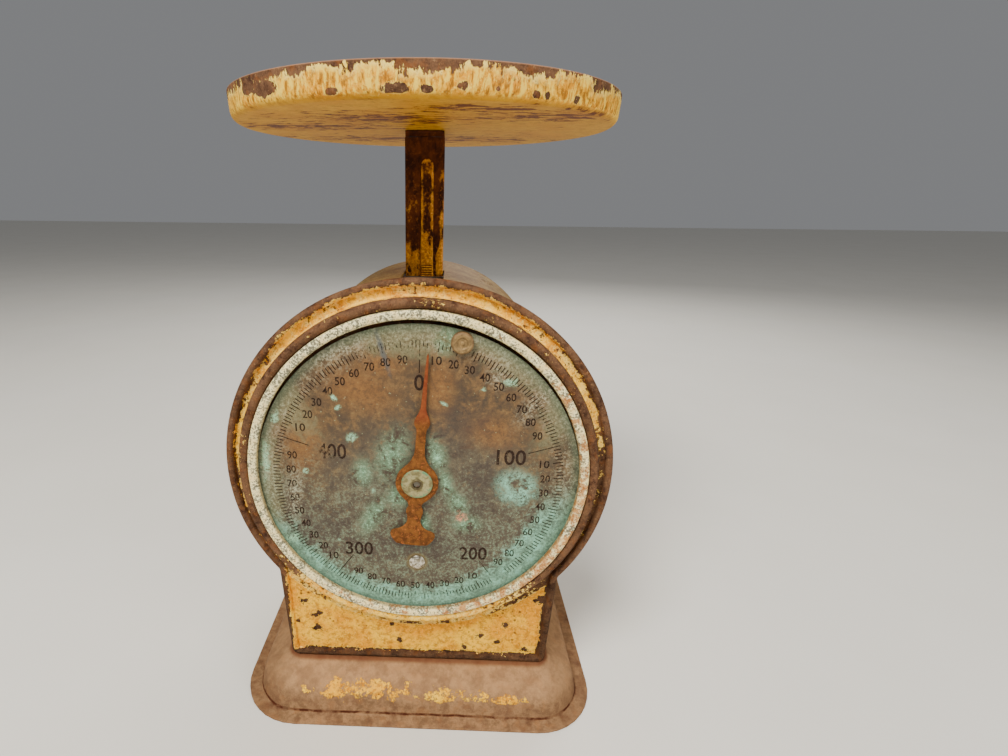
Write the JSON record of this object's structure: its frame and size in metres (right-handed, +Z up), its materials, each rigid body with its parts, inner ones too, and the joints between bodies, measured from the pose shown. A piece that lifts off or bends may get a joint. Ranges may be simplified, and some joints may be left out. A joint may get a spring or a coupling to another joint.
{
  "type": "weighing scale",
  "caption": "Spring weighing scale: flat round pan on a stem, arch-topped case on a flanged base, round dial with pointer, zero knob and rack and pinion inside.",
  "frame": {"origin": "on the table, under the middle of the pan and of the base", "axes": "+Z up, the dial faces -Y, +X to the right of someone reading the dial"},
  "size_m": [0.1944, 0.1812, 0.3064],
  "materials": {
    "case_paint": "old yellow enamel worn through to dull red-brown rust",
    "front_paint": "flaking golden yellow enamel with rusty edges",
    "pan_paint": "chipped yellow enamel, rusty rim, streaked underside",
    "bezel_metal": "dull pitted plated metal",
    "dial_metal": "tarnished brass with green corrosion and worn black numbers",
    "pointer_metal": "orange rust",
    "brass": "dull brass",
    "screw_metal": "dull plated screw head",
    "steel": "plain steel, lightly rusted",
    "spring_steel": "drawn spring wire"
  },
  "bodies": {
    "case": {"base_screw_1": "steel", "base_screw_2": "steel", "base_screw_3": "steel", "base_screw_4": "steel", "base_shell": "case_paint", "bezel": "bezel_metal", "body_shell": "case_paint", "dial_collar": "brass", "dial_retainer": "steel", "drum_back": "case_paint", "frame_screw_1": "steel", "frame_screw_2": "steel", "front_cover": "front_paint", "guide_rod": "steel", "movement_frame": "steel", "rear_bearing": "brass", "rear_cover": "case_paint", "rear_cover_screw_1": "steel", "rear_cover_screw_2": "steel", "rear_cover_screw_3": "steel", "rear_cover_screw_4": "steel", "spring_hanger": "steel", "spring_left": "spring_steel", "spring_right": "spring_steel", "stem_guide": "steel"},
    "platform": {"pan": "pan_paint", "pan_bracket": "case_paint", "pan_rivet_1": "steel", "pan_rivet_2": "steel", "stem": "case_paint", "yoke": "steel", "rack_arm": "steel", "rack": "brass"},
    "pointer": {"pointer_shaft": "steel", "pinion": "brass", "pointer": "pointer_metal", "pointer_washer": "brass"},
    "dial": {"dial_plate": "dial_metal", "dial_carrier": "steel", "dial_knob": "brass", "dial_screw": "screw_metal"}
  },
  "joints": [
    {"name": "platform_slide", "type": "slide", "parent": "case", "child": "platform", "axis": [0, 0, -1], "range_m": [0, 0.02199], "stiffness_N_per_m": 223, "springref_m": -0.0197, "deforming": ["spring_left", "spring_right"]},
    {"name": "pointer_turn", "type": "hinge", "parent": "case", "child": "pointer", "pos_m": [0, 0, 0.1351], "axis": [0, 1, 0], "range_deg": [0, 360]},
    {"name": "dial_turn", "type": "hinge", "parent": "case", "child": "dial", "pos_m": [0, 0, 0.1351], "axis": [0, 1, 0], "range_deg": [-85, 55]}
  ],
  "couplings": [
    {"joint": "pointer_turn", "follows": "platform_slide", "rad_per_m": 285.71}
  ]
}
